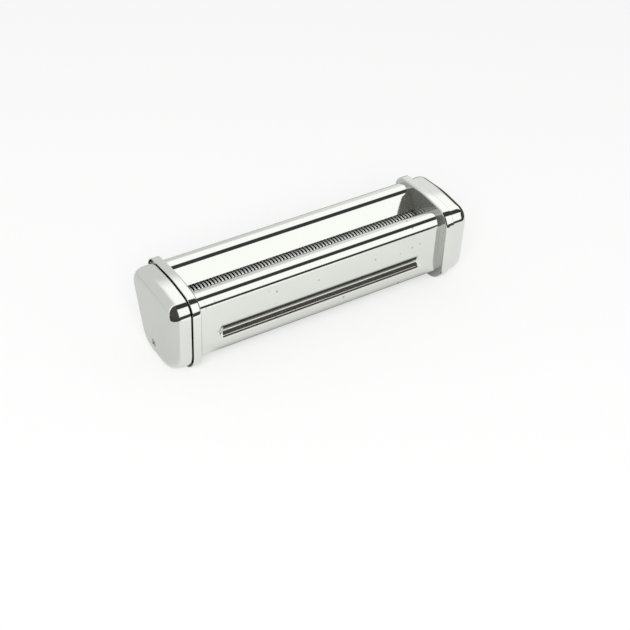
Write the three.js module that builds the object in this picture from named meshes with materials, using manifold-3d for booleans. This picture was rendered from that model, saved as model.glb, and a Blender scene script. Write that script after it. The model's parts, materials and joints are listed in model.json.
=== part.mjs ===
// Pasta cutter head: two grooved rollers, geared together, in a bright steel body
// between two deep-drawn end caps. Millimetres, +Z up, X along the rollers, -Y is the front.
// The origin is at the bottom centre.
import * as THREE from 'three';
import { mergeVertices } from 'three/addons/utils/BufferGeometryUtils.js';
import Module from 'manifold-3d';

const wasm = await Module();
wasm.setup();

// ---- Driving dimensions ----

// Fits
const gap = 0.3; // between pieces that are cut by or run in each other
const sheet = 0.8; // thickness of the body sheets

// Body
const bodyLength = 150; // between the side frames
const frontFace = -19.6; // y of the outer face of the front panel
const frontFold = 8.4; // z of the fold at the foot of the front panel
const frontFlange = 6; // length of the flange below that fold
const frontRailRadius = 6.7;
const frontRailRise = 11.5; // from the rollers' axes up to the centre of the front rail
const frontGuideLean = 15; // degrees from upright, of the sheet that runs on from the rail
const rearRailY = 16.1;
const rearRailRise = 12.3;
const rearRailRadius = 7.2;
const rearGuideLean = 37;
const guideClearance = 2.2; // from the top of the rollers up to the guides' feet
const rearWallFoot = 8; // z where the rear wall ends
const rearFlange = 3.5;

// Pressed groove of the front panel
const pressLength = 123;
const pressTop = 24; // z
const pressFoot = 15.2;
const pressDepth = 1.4;
const pressTopSlope = 16; // degrees in from the face
const pressFootSlope = 22.5;
const pressEndSlope = 30;

// Outline of the side frames, seen along X: five corners, each [y, z, radius]
const frameFront = -24.3;
const frameCrownY = -1;
const frameCrown = 48.3;
const crownRise = 2.3; // of the crown above the shoulders
const frontFootRadius = 15;
const frontTopRadius = 8.5;
const crownRadius = 70;
const rearTopRadius = 8;
const rearFootRadius = 9;
const rearFootY = 9.8; // where the sloping rear edge would meet the ground
const rearSlope = 21.3; // degrees from upright
const plate = 1.6; // thickness of the side frame's plate
const bandWidth = 5; // of the frame's rim, along X
const bandStep = 1.2; // from the rim's face in to the end cap's face

// End caps
const capLength = 11.5; // beyond the rim
const capWall = 1;
const capFillet = 6; // round of the outer end
const capDraft = 2; // the end face leans in by this at its foot
const crankHoleRadius = 6.8;

// Rollers
const nipY = -2;
const axisHeight = 25.2;
const axisDistance = 14;
const drumEndGap = 1; // from the drum's end to the side frame
const groovePitch = 2;
const grooveDepth = 0.8;
const drumFacets = 12;
const shaftRadius = 3.4;
const shaftFlat = 2.4; // from the axis to the flat on the drive end
const ringThickness = 0.8;
const ringRadius = 4.6;
const ringGrooveDepth = 0.7;
const ringOpening = 60; // degrees
const shaftPastRing = 1.2;

// Bushes
const bushWall = 1.5;
const bushFlangeRadius = 6.3;
const bushFlange = 1.2;

// Gears
const teeth = 14;
const gearWidth = 5;
const pressureAngle = 20;
const addendum = 0.9; // in modules
const dedendum = 1.15;
const toothThinning = 0.12; // share of the tooth that is backlash

// Crank coupling
const couplingRadius = 5.6;
const socketSquare = 6.2;
const couplingGrip = 1.6; // length of its bore over the drive shaft
const couplingSetBack = 0.15; // of its mouth from the end cap's face

// Combs
const combFromNip = 2.3; // nearest face to the nip
const fingerWidth = 0.5;
const fingerLength = 4;
const fingerReach = 0.35; // into the grooves
const combFoot = 8; // width of its flange

// Tie rods
const rodRadius = 2;
const nutFlats = 7;
const nutHeight = 3;
const rodEnd = 0.8; // past the nut
const lowerRodHeight = 8.5;
const lowerRodFront = 9; // from the nip to the front one
const lowerRodRear = 8;
const frontRodClearance = 0.6; // from the nut of the upper front one to the drive gear

// Cap screws
const screwY = -1.5;
const screwHeight = 11;
const screwRadius = 1;
const screwHeadRadius = 1.6;
const screwHead = 1;
const screwLength = 7;
const pillarRadius = 2.6;

// Rear hooks
const hookInset = 23; // from the side frame to the middle of the hook
const hookWidth = 14;
const hookSheet = 1.2;
const hookTop = 20; // z
const hookFoot = 8;
const hookReach = 4.2; // clear space behind the hook's lip
const hookLip = 7;
const rivetSpread = 7; // between the two rivets of a hook
const rivetHeight = 13.5;
const rivetRadius = 1.1;
const rivetHeadRadius = 2.1;
const rivetHead = 0.7;

// ---- Materials ----

const chrome = new THREE.MeshStandardMaterial({ color: 0xd8d9d6, roughness: 0.12, metalness: 1 });
const bodySteel = new THREE.MeshStandardMaterial({ color: 0xd3d5d0, roughness: 0.22, metalness: 1 });
const rollerSteel = new THREE.MeshStandardMaterial({ color: 0xb9bab8, roughness: 0.3, metalness: 1 });
const bushBrass = new THREE.MeshStandardMaterial({ color: 0xb08d4f, roughness: 0.4, metalness: 1 });
const zincSteel = new THREE.MeshStandardMaterial({ color: 0xa9abab, roughness: 0.45, metalness: 1 });

// ---- Shapes ----

const rad = THREE.MathUtils.degToRad;
const alongX = (x) => new THREE.Matrix4().set(0, 0, 1, x, 1, 0, 0, 0, 0, 1, 0, 0, 0, 0, 0, 1);
const aboutX = new THREE.Matrix4().set(0, 1, 0, 0, 0, 0, 1, 0, 1, 0, 0, 0, 0, 0, 0, 1);

// A closed three.js geometry as a solid, with its faces turned outwards.
function toSolid(geometry) {
  geometry.deleteAttribute('normal');
  geometry.deleteAttribute('uv');
  const merged = mergeVertices(geometry, 1e-4);
  const places = merged.attributes.position.array;
  const corners = merged.index.array;
  const kept = [];
  let volume = 0;
  for (let i = 0; i < corners.length; i += 3) {
    const [a, b, c] = corners.slice(i, i + 3);
    if (a === b || b === c || c === a) continue;
    kept.push(a, b, c);
    const [p, q, r] = [a, b, c].map((n) => new THREE.Vector3().fromArray(places, 3 * n));
    volume += p.dot(q.cross(r));
  }
  if (volume < 0) kept.reverse();
  return new wasm.Manifold(
    new wasm.Mesh({ numProp: 3, vertProperties: new Float32Array(places), triVerts: new Uint32Array(kept) }),
  );
}

function toGeometry(solid) {
  const { vertProperties, triVerts } = solid.getMesh();
  const geometry = new THREE.BufferGeometry();
  geometry.setAttribute('position', new THREE.BufferAttribute(vertProperties, 3));
  geometry.setIndex(new THREE.BufferAttribute(triVerts, 1));
  geometry.computeVertexNormals();
  return geometry;
}

// The same solid at the other end of the head.
function mirrored(solid) {
  return toSolid(toGeometry(solid).applyMatrix4(new THREE.Matrix4().makeScale(-1, 1, 1)));
}

// A section in (y, z), with any holes, carried along X.
function prism(section, x0, x1, holes = []) {
  const shape = new THREE.Shape(section.map(([y, z]) => new THREE.Vector2(y, z)));
  shape.holes = holes.map((hole) => new THREE.Path(hole.map(([y, z]) => new THREE.Vector2(y, z))));
  const geometry = new THREE.ExtrudeGeometry(shape, { depth: x1 - x0, bevelEnabled: false });
  return toSolid(geometry.applyMatrix4(alongX(x0)));
}

// A profile of [x, radius] turned about the X axis.
function turned(profile, facets = 12) {
  const points = profile.map(([x, r]) => new THREE.Vector2(r, x));
  return toSolid(new THREE.LatheGeometry(points, facets).applyMatrix4(aboutX));
}

// A round bar along X through a point of the (y, z) plane.
const bar = (x0, x1, radius, [y, z], facets = 12) => prism(circle(y, z, radius, facets), x0, x1);

const circle = (y, z, radius, facets = 16) =>
  Array.from({ length: facets }, (_, i) => {
    const turn = (2 * Math.PI * i) / facets;
    return [y + radius * Math.cos(turn), z + radius * Math.sin(turn)];
  });

// Points of an arc from one angle to another, in degrees from +Y towards +Z.
const arc = (y, z, radius, from, to, steps) =>
  Array.from({ length: steps + 1 }, (_, i) => {
    const turn = rad(from + ((to - from) * i) / steps);
    return [y + radius * Math.cos(turn), z + radius * Math.sin(turn)];
  });

// A bent sheet: the line of its outer face, with its thickness on the right as one walks along it.
function sheetSection(line, thickness) {
  const normals = line.slice(1).map(([y, z], i) => {
    const [fromY, fromZ] = line[i];
    return new THREE.Vector2(z - fromZ, fromY - y).normalize();
  });
  const inside = line.map(([y, z], i) => {
    const before = normals[Math.max(i - 1, 0)];
    const after = normals[Math.min(i, normals.length - 1)];
    const side = before.clone().add(after).normalize();
    const reach = thickness / side.dot(before);
    return [y + side.x * reach, z + side.y * reach];
  });
  return [...line, ...inside.reverse()];
}

// The frame's outline moved in by a distance, anticlockwise from the front foot.
function outline(inset, steps = 5) {
  const lean = Math.tan(rad(rearSlope));
  const corners = [
    [frameFront, 0, frontFootRadius],
    [rearFootY, 0, rearFootRadius],
    [rearFootY + frameShoulder * lean, frameShoulder, rearTopRadius],
    [frameCrownY, frameCrown, crownRadius],
    [frameFront, frameShoulder, frontTopRadius],
  ];
  return corners.flatMap(([y, z, radius], i) => {
    const corner = new THREE.Vector2(y, z);
    const toward = (n) => {
      const [py, pz] = corners[(i + n) % corners.length];
      return new THREE.Vector2(py - y, pz - z).normalize();
    };
    const back = toward(corners.length - 1);
    const on = toward(1);
    const half = Math.acos(back.dot(on)) / 2;
    const centre = back.clone().add(on).normalize().multiplyScalar(radius / Math.sin(half)).add(corner);
    const start = Math.atan2(-back.x, back.y) + Math.PI;
    const turn = Math.PI - 2 * half;
    return Array.from({ length: steps + 1 }, (_, k) => {
      const angle = start + (turn * k) / steps;
      const reach = Math.max(radius - inset, 0);
      return [centre.x + reach * Math.cos(angle), centre.y + reach * Math.sin(angle)];
    });
  });
}

// Rings of equal count joined into a closed solid, with flat ends.
function loft(rings) {
  const count = rings[0].length;
  const indices = [];
  rings.slice(1).forEach((_, k) => {
    for (let i = 0; i < count; i += 1) {
      const j = (i + 1) % count;
      const [a, b] = [k * count, (k + 1) * count];
      indices.push(a + i, a + j, b + j, a + i, b + j, b + i);
    }
  });
  [0, rings.length - 1].forEach((k) => {
    const flat = rings[k].map(([, y, z]) => new THREE.Vector2(y, z));
    THREE.ShapeUtils.triangulateShape(flat, []).forEach(([a, b, c]) => {
      const base = k * count;
      if (k === 0) indices.push(base + a, base + c, base + b);
      else indices.push(base + a, base + b, base + c);
    });
  });
  const geometry = new THREE.BufferGeometry();
  geometry.setAttribute('position', new THREE.Float32BufferAttribute(rings.flat(2), 3));
  geometry.setIndex(indices);
  return toSolid(geometry);
}

// ---- Places that several pieces share ----

const half = bodyLength / 2;
const plateOuter = half + plate;
const bandOuter = half + bandWidth;
const capEnd = bandOuter + capLength;
const driveY = nipY - axisDistance / 2;
const drivenY = nipY + axisDistance / 2;
const drumRadius = axisDistance / 2 - gap / 2;
const drumEnd = half - drumEndGap;
const grooves = Math.floor((2 * drumEnd) / groovePitch + 1e-6);
const groovedHalf = (grooves * groovePitch) / 2;
const boreRadius = shaftRadius + gap;
const bushOuter = boreRadius + bushWall;
const bushEnd = plateOuter + bushFlange;
const gearStart = bushEnd + gap;
const gearEnd = gearStart + gearWidth;
const frameShoulder = frameCrown - crownRise;
const frontRailY = frontFace + frontRailRadius;
const frontRailHeight = axisHeight + frontRailRise;
const rearRailHeight = axisHeight + rearRailRise;
const hookX = half - hookInset;
const gearTip = axisDistance / 2 + (addendum * axisDistance) / teeth;
const guideFoot = axisHeight + drumRadius + guideClearance; // z
const rodBearing = Math.atan2(frontRailRise, frontRailY - driveY); // seen from the drive gear's axis
const rodReach = gearTip + frontRodClearance + nutFlats / Math.sqrt(3);
const rodPlaces = {
  upper_front: [driveY + rodReach * Math.cos(rodBearing), axisHeight + rodReach * Math.sin(rodBearing)],
  upper_rear: [rearRailY, rearRailHeight],
  lower_front: [nipY - lowerRodFront, lowerRodHeight],
  lower_rear: [nipY + lowerRodRear, lowerRodHeight],
};
const rodTip = plateOuter + nutHeight + rodEnd;
const lean = Math.tan(rad(rearSlope));
// x of the end cap's face at a height
const capFaceAt = (z) => capEnd - capDraft * (1 - z / frameCrown);
const screwSeat = capFaceAt(screwHeight) - screwHead;
// y of the rear wall's outer face at a height
const railFoot = arc(rearRailY, rearRailHeight, rearRailRadius, -rearSlope, -rearSlope, 1)[0];
const rearWallAt = (z) => railFoot[0] - (railFoot[1] - z) * lean;

// ---- Body ----

// An outline in (x, z) given a thickness along Y.
function plateAcross(shape, y0, y1) {
  const along = { depth: y1 - y0, bevelEnabled: false, curveSegments: 6 };
  const geometry = new THREE.ExtrudeGeometry(shape, along);
  return toSolid(geometry.applyMatrix4(new THREE.Matrix4().makeRotationX(Math.PI / 2).setPosition(0, y1, 0)));
}

// The pressed groove: a long stadium that narrows as it goes in, each wall at its own slope.
function pressedGroove() {
  const rings = [-sheet / 2, pressDepth].map((depth) => {
    const into = (slope) => depth / Math.tan(rad(slope));
    const [top, foot] = [pressTop - into(pressTopSlope), pressFoot + into(pressFootSlope)];
    const [middle, radius] = [(top + foot) / 2, (top - foot) / 2];
    const reach = pressLength / 2 - into(pressEndSlope) - radius;
    const ends = [arc(reach, middle, radius, -90, 90, 8), arc(-reach, middle, radius, 90, 270, 8)];
    return ends.flat().map(([x, z]) => [frontFace + depth, x, z]);
  });
  return loft(rings).rotate([0, 0, 90]);
}

// The foot of a guide that leaves a rail at a point and leans from upright by some degrees.
const footOf = ([y, z], guideLean) => [y + (z - guideFoot) * Math.tan(rad(guideLean)), guideFoot];

// A flat front with a rail rolled over at its top, its foot folded in, and one long pressed groove.
// Behind the rail the sheet runs on down as the front guide of the hopper.
function frontPanel() {
  const flange = frontFlange * Math.SQRT1_2;
  const rail = arc(frontRailY, frontRailHeight, frontRailRadius, 180, frontGuideLean, 12);
  const foot = footOf(rail.at(-1), frontGuideLean);
  const line = [[frontFace + flange, frontFold - flange], [frontFace, frontFold], ...rail, foot];
  const groove = pressedGroove();
  return prism(sheetSection(line, sheet), -half, half).add(groove.translate([0, sheet, 0])).subtract(groove);
}

// The rear wall leans as the frames' rear edge does, under a rail that rolls over to the front
// and runs on down as the rear guide.
function rearPanel() {
  const flange = rearFlange * Math.SQRT1_2;
  const rail = arc(rearRailY, rearRailHeight, rearRailRadius, 180 - rearGuideLean, -rearSlope, 12);
  const foot = rearWallAt(rearWallFoot);
  const line = [
    footOf(rail[0], -rearGuideLean),
    ...rail,
    [foot, rearWallFoot],
    [foot - flange, rearWallFoot - flange],
  ];
  let panel = prism(sheetSection(line, sheet), -half, half);
  rivetPlaces().forEach((x) => {
    panel = panel.subtract(acrossWall(x, -2 * sheet, sheet, rivetRadius + gap));
  });
  return panel;
}

// ---- Rear hooks and their rivets ----

const rivetPlaces = () => [-1, 1].flatMap((end) => [-1, 1].map((k) => end * hookX + (k * rivetSpread) / 2));

// Where a rivet's axis meets the rear wall, and the turn that lays +Z along it, outwards.
const rivetSeat = (x) => [x, rearWallAt(rivetHeight), rivetHeight];
const rivetTurn = -Math.PI / 2 - rad(rearSlope);

// A round bar square to the rear wall, from one depth to another.
function acrossWall(x, from, to, radius) {
  const geometry = new THREE.CylinderGeometry(radius, radius, to - from, 10);
  geometry.rotateX(Math.PI / 2).translate(0, 0, (from + to) / 2);
  return toSolid(geometry.rotateX(rivetTurn).translate(...rivetSeat(x)));
}

function rearHook(x) {
  const wallSide = (z) => [rearWallAt(z) + gap / Math.cos(rad(rearSlope)), z];
  const back = wallSide(hookTop);
  const out = back[0] + 2 * hookSheet + hookReach;
  const line = [wallSide(hookFoot), back, [out, hookTop], [out, hookTop - hookLip]];
  let hook = prism(sheetSection(line, hookSheet), x - hookWidth / 2, x + hookWidth / 2);
  [-1, 1].forEach((k) => {
    hook = hook.subtract(acrossWall(x + (k * rivetSpread) / 2, 0, 2 * hookSheet, rivetRadius + gap));
  });
  return hook;
}

// A rivet along +Z, whose zero is the outer face of the rear wall.
function rivet() {
  const outside = gap + hookSheet;
  const inside = -sheet;
  const profile = [
    [0, inside - rivetHead],
    [rivetHeadRadius, inside - rivetHead],
    [rivetHeadRadius, inside],
    [rivetRadius, inside],
    [rivetRadius, outside],
    [rivetHeadRadius, outside],
    [rivetHeadRadius, outside + rivetHead / 2],
    [0, outside + rivetHead],
  ];
  const points = profile.map(([r, h]) => new THREE.Vector2(r, h));
  return toSolid(new THREE.LatheGeometry(points, 10).rotateX(Math.PI / 2));
}

// ---- Side frames and end caps, made for the right end and mirrored for the left ----

function sideFrame() {
  const holes = [
    circle(driveY, axisHeight, bushOuter + gap),
    circle(drivenY, axisHeight, bushOuter + gap),
    ...Object.values(rodPlaces).map(([y, z]) => circle(y, z, rodRadius + gap, 12)),
  ];
  const screwLine = [screwY, screwHeight];
  return prism(outline(0), half, plateOuter, holes)
    .add(prism(outline(0), half + plate / 2, bandOuter, [outline(bandStep - gap)]))
    .add(bar(half + plate / 2, screwSeat - capWall - gap, pillarRadius, screwLine))
    .subtract(bar(plateOuter, capEnd, screwRadius + gap, screwLine, 8));
}

// The cap's form as a solid, straight along its skirt and rounded into its end face.
function capForm(inset, end) {
  const steps = 4;
  const fillet = capFillet - (inset - bandStep);
  const stations = [[plateOuter, 0]];
  for (let k = 0; k <= steps; k += 1) {
    const turn = (Math.PI / 2) * (k / steps);
    stations.push([end - fillet * (1 - Math.sin(turn)), fillet * (1 - Math.cos(turn))]);
  }
  return loft(
    stations.map(([x, round]) => {
      const along = (x - plateOuter) / (end - plateOuter);
      return outline(inset + round, 4).map(([y, z]) => [x - along * capDraft * (1 - z / frameCrown), y, z]);
    }),
  );
}

function endCap(withCrankHole) {
  const screwLine = [screwY, screwHeight];
  const seatRadius = screwHeadRadius + gap;
  let cap = capForm(bandStep, capEnd)
    .subtract(capForm(bandStep + capWall, capEnd - capWall))
    .subtract(prism(outline(bandStep + capWall, 4), half, plateOuter + gap))
    .add(bar(screwSeat - capWall, capFaceAt(screwHeight) - capWall / 2, seatRadius + capWall, screwLine))
    .subtract(bar(screwSeat, capEnd + 1, seatRadius, screwLine))
    .subtract(bar(bandOuter, capEnd, screwRadius + gap, screwLine, 8));
  if (withCrankHole) {
    cap = cap.subtract(bar(bandOuter, capEnd + 1, crankHoleRadius, [driveY, axisHeight], 20));
  }
  return cap;
}

function capScrew() {
  return turned([
    [screwSeat + screwHead, 0],
    [screwSeat + screwHead, screwHeadRadius],
    [screwSeat, screwHeadRadius],
    [screwSeat, screwRadius],
    [screwSeat - screwLength, screwRadius],
    [screwSeat - screwLength, 0],
  ], 10);
}

// ---- Rollers and what is on their shafts, each about its own axis ----

const ringBed = ringThickness + gap; // width of a ring's groove
const leftRing = bushEnd + gap / 2; // start of the left groove, from the middle of the head
const rightRing = gearEnd + gap / 2;
const shaftCore = shaftRadius - ringGrooveDepth;

// A drum cut with grooves all along, and a shaft that carries rings and, at the right, a gear.
function roller(tip, ringed) {
  const drum = [];
  for (let i = 0; i < grooves; i += 1) {
    drum.push([i * groovePitch - groovedHalf, drumRadius]);
    drum.push([(i + 0.5) * groovePitch - groovedHalf, drumRadius - grooveDepth]);
  }
  const bed = (x) => [[x, shaftRadius], [x, shaftCore], [x + ringBed, shaftCore], [x + ringBed, shaftRadius]];
  const leftTip = -leftRing - ringBed - shaftPastRing;
  const shaft = turned([
    [leftTip, 0],
    [leftTip, shaftRadius],
    ...bed(-leftRing - ringBed),
    [-groovedHalf, shaftRadius],
    ...drum,
    [groovedHalf, drumRadius],
    [groovedHalf, shaftRadius],
    ...(ringed ? bed(rightRing) : []),
    [tip, shaftRadius],
    [tip, 0],
  ], drumFacets);
  const above = shaftRadius + gap;
  const flat = [[-above, shaftFlat], [above, shaftFlat], [above, above], [-above, above]];
  return shaft.subtract(prism(flat, gearStart, capEnd));
}

// A round bore with a flat, to fit over the shaft's flat.
function keyedBore() {
  const limit = shaftFlat + gap;
  return circle(0, 0, boreRadius, 24).map(([y, z]) => [y, Math.min(z, limit)]);
}

// The phase is in teeth: half a tooth for one gear of the pair brings its gaps to the other's teeth.
function gear(phase) {
  const pitchRadius = axisDistance / 2;
  const module = axisDistance / teeth;
  const base = pitchRadius * Math.cos(rad(pressureAngle));
  const root = pitchRadius - dedendum * module;
  const involute = (radius) => {
    const angle = Math.acos(Math.min(base / radius, 1));
    return Math.tan(angle) - angle;
  };
  const halfTooth = (Math.PI / (2 * teeth)) * (1 - toothThinning) + involute(pitchRadius);
  const flankRadii = [base, base + (gearTip - base) * 0.45, gearTip];
  const flank = flankRadii.map((radius) => [radius, halfTooth - involute(radius)]);
  const section = [];
  for (let i = 0; i < teeth; i += 1) {
    const middle = (2 * Math.PI * (i + phase)) / teeth;
    const rise = [[root, halfTooth], ...flank];
    rise.forEach(([r, a]) => section.push([r * Math.cos(middle - a), r * Math.sin(middle - a)]));
    rise.reverse().forEach(([r, a]) => section.push([r * Math.cos(middle + a), r * Math.sin(middle + a)]));
  }
  return prism(section, gearStart, gearEnd, [keyedBore()]);
}

function bush() {
  return turned([
    [half, boreRadius],
    [half, bushOuter],
    [plateOuter, bushOuter],
    [plateOuter, bushFlangeRadius],
    [bushEnd, bushFlangeRadius],
    [bushEnd, boreRadius],
    [half, boreRadius],
  ]);
}

function retainingRing(x) {
  const from = ringOpening / 2;
  const outside = arc(0, 0, ringRadius, from, 360 - from, 12);
  const inside = arc(0, 0, shaftCore + gap, 360 - from, from, 12);
  return prism([...outside, ...inside], x + gap / 2, x + gap / 2 + ringThickness);
}

// A sleeve on the end of the drive shaft, with a square socket for the crank.
const couplingStart = gearEnd + gap;
const couplingEnd = capFaceAt(axisHeight) - couplingSetBack;
function crankCoupling() {
  const outside = circle(0, 0, couplingRadius, 16);
  const s = socketSquare / 2;
  const square = [[-s, -s], [s, -s], [s, s], [-s, s]];
  const grip = couplingStart + couplingGrip;
  return prism(outside, couplingStart, grip, [keyedBore()]).add(prism(outside, grip, couplingEnd, [square]));
}

// ---- Combs: a row of fingers that reach into a roller's grooves from below ----

// side is -1 for the front comb and 1 for the rear one
function comb(side) {
  const near = nipY + side * combFromNip;
  const far = near + side * sheet;
  const across = axisDistance / 2 - combFromNip - sheet;
  const tip = axisHeight - Math.sqrt((drumRadius - fingerReach) ** 2 - across ** 2);
  const foot = lowerRodHeight + rodRadius + gap;
  const shape = new THREE.Shape([new THREE.Vector2(-half, foot), new THREE.Vector2(half, foot)]);
  shape.lineTo(half, tip - fingerLength);
  for (let i = grooves - 1; i >= 0; i -= 1) {
    const x = (i + 0.5) * groovePitch - groovedHalf;
    shape.lineTo(x + fingerWidth / 2, tip - fingerLength);
    shape.lineTo(x + fingerWidth / 2, tip);
    shape.lineTo(x - fingerWidth / 2, tip);
    shape.lineTo(x - fingerWidth / 2, tip - fingerLength);
  }
  shape.lineTo(-half, tip - fingerLength);
  const [y0, y1] = [near, far + side * combFoot].sort((a, b) => a - b);
  return plateAcross(shape, Math.min(near, far), Math.max(near, far))
    .add(prism([[y0, foot], [y1, foot], [y1, foot + sheet], [y0, foot + sheet]], -half, half));
}

// ---- Tie rods ----

const tieRod = () => bar(-rodTip, rodTip, rodRadius, [0, 0]);
const rodNut = () =>
  prism(circle(0, 0, nutFlats / Math.sqrt(3), 6), plateOuter, plateOuter + nutHeight, [
    circle(0, 0, rodRadius + gap, 12),
  ]);

// ---- Assembly ----

const cutter = new THREE.Group();

function place(name, solid, material, position = [0, 0, 0], parent = cutter) {
  const mesh = new THREE.Mesh(toGeometry(solid), material);
  mesh.name = name;
  mesh.position.set(...position);
  parent.add(mesh);
  return mesh;
}

place('front_panel', frontPanel(), bodySteel);
place('rear_panel', rearPanel(), bodySteel);
place('front_comb', comb(-1), rollerSteel);
place('rear_comb', comb(1), rollerSteel);

const ends = { right: (solid) => solid, left: mirrored };
Object.entries(ends).forEach(([end, turn]) => {
  place(`${end}_side_frame`, turn(sideFrame()), chrome);
  place(`${end}_end_cap`, turn(endCap(end === 'right')), chrome);
  place(`${end}_cap_screw`, turn(capScrew()), zincSteel, [0, screwY, screwHeight]);
  place(`drive_bush_${end}`, turn(bush()), bushBrass, [0, driveY, axisHeight]);
  place(`driven_bush_${end}`, turn(bush()), bushBrass, [0, drivenY, axisHeight]);
  Object.entries(rodPlaces).forEach(([where, [y, z]]) => {
    place(`${where}_nut_${end}`, turn(rodNut()), zincSteel, [0, y, z]);
  });
});
Object.entries(rodPlaces).forEach(([where, [y, z]]) => {
  place(`${where}_tie_rod`, tieRod(), zincSteel, [0, y, z]);
});

// Each roller and what turns with it share one group on the roller's axis.
const drive = new THREE.Group();
drive.position.set(0, driveY, axisHeight);
const driven = new THREE.Group();
driven.position.set(0, drivenY, axisHeight);
cutter.add(drive, driven);
const origin = [0, 0, 0];
const leftBed = -leftRing - ringBed;
place('drive_roller', roller(couplingStart + couplingGrip - gap, false), rollerSteel, origin, drive);
place('drive_gear', gear(0), zincSteel, origin, drive);
place('drive_ring_left', retainingRing(leftBed), zincSteel, origin, drive);
place('crank_coupling', crankCoupling(), zincSteel, origin, drive);
place('driven_roller', roller(rightRing + ringBed + shaftPastRing, true), rollerSteel, origin, driven);
place('driven_gear', gear(0.5), zincSteel, origin, driven);
place('driven_ring_left', retainingRing(leftBed), zincSteel, origin, driven);
place('driven_ring_right', retainingRing(rightRing), zincSteel, origin, driven);

[-1, 1].forEach((end) => {
  const name = end < 0 ? 'left' : 'right';
  place(`rear_hook_${name}`, rearHook(end * hookX), zincSteel);
});
rivetPlaces().forEach((x, i) => {
  place(`hook_rivet_${i + 1}`, rivet(), zincSteel, rivetSeat(x)).rotation.x = rivetTurn;
});

export default cutter;
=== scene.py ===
import json
import math

import bmesh
import bpy
import numpy as np
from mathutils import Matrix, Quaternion, Vector
from mathutils.geometry import tessellate_polygon


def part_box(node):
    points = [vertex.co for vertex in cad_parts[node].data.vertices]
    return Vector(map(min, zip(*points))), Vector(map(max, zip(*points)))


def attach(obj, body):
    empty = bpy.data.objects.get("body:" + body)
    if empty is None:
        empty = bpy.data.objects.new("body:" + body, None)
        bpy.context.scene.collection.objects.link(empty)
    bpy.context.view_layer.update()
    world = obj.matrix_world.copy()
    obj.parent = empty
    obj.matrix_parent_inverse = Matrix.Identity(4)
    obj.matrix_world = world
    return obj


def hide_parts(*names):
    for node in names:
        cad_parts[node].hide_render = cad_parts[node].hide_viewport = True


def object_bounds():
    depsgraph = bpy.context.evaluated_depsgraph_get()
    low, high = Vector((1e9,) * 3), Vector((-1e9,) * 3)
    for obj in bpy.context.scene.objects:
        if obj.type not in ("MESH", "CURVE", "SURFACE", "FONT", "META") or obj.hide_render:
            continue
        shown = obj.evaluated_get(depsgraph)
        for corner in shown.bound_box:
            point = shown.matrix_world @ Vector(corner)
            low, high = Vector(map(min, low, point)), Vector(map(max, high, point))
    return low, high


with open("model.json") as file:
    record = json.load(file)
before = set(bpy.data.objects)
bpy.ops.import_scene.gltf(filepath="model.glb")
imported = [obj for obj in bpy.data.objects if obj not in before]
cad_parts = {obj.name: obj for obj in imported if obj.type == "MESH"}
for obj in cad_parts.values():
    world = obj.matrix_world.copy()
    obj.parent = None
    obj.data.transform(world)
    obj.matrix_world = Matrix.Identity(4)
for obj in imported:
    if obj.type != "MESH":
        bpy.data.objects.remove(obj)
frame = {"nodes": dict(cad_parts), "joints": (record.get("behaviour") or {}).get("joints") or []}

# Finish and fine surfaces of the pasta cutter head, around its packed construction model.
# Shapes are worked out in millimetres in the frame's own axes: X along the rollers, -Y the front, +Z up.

mm = 0.001
sides = ("left", "right")
cadLow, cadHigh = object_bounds()
print("frame loaded:", len(frame["nodes"]), "nodes")


# Places come from the frame's nodes and joints.
def boxOf(node):
    low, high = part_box(node)
    return np.array(low) / mm, np.array(high) / mm


# Where a node starts and ends along X.
def spanOf(node):
    low, high = boxOf(node)
    return low[0], high[0]


def jointAt(name):
    joint = next(j for j in frame["joints"] if j["name"] == name)
    return np.array(joint["pos_m"][1:]) / mm  # (y, z) of an axis along X


panelLow, panelHigh = boxOf("front_panel")
rearHigh = boxOf("rear_panel")[1]
frameLow, frameHigh = boxOf("right_side_frame")
driveAxis = jointAt("drive_spin")
drivenAxis = jointAt("driven_spin")
bodyHalf = panelHigh[0]
drumRadius = boxOf("driven_roller")[1][2] - drivenAxis[1]

place = dict(
    gap=0.3,  # between pieces that don't touch
    sheet=0.8,  # thickness of the body sheets
    plate=1.6,  # thickness of the side frames
    band=5.0,  # width of the side frames' rims
    bushFlange=1.2,
    guideFoot=drumRadius + drivenAxis[1] + 2.2,  # z where the front guide ends, over the rollers
)
plateOuter = bodyHalf + place["plate"]
bandOuter = bodyHalf + place["band"]


# Quads of a grid of points, row by row; either way round can be closed.
def gridFaces(rows, cols, closeRows=False, closeCols=True):
    r = np.arange(rows if closeRows else rows - 1)
    c = np.arange(cols if closeCols else cols - 1)
    r, c = np.meshgrid(r, c, indexing="ij")
    r1, c1 = (r + 1) % rows, (c + 1) % cols
    quads = np.stack([r * cols + c, r * cols + c1, r1 * cols + c1, r1 * cols + c], -1)
    return quads.reshape(-1, 4)


# A grid of points, rows by columns, as one part.
def gridPart(points, closeRows=False, closeCols=True):
    rows, cols = points.shape[:2]
    return points.reshape(-1, 3), gridFaces(rows, cols, closeRows, closeCols).tolist()


# A loop of (y, z) set up at one x.
def loopAt(x, loop):
    return np.c_[np.full(len(loop), float(x)), loop]


# A flat face over a loop at one x, with round or other holes left open.
def facePart(loop, x, holes=()):
    loops = [np.asarray(loop), *[np.asarray(h) for h in holes]]
    points = loopAt(x, np.vstack(loops))
    if not holes:
        return points, [list(range(len(points)))]
    triangles = tessellate_polygon([[Vector((y, z, 0)) for y, z in one] for one in loops])
    return points, [list(t) for t in triangles]


# The wall between two loops of equal count, each at its own x.
def wallPart(loopA, xA, loopB, xB):
    return gridPart(np.stack([loopAt(xA, loopA), loopAt(xB, loopB)]))


def wholeTurn(count):
    return np.linspace(0, 2 * np.pi, count, endpoint=False)


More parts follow.
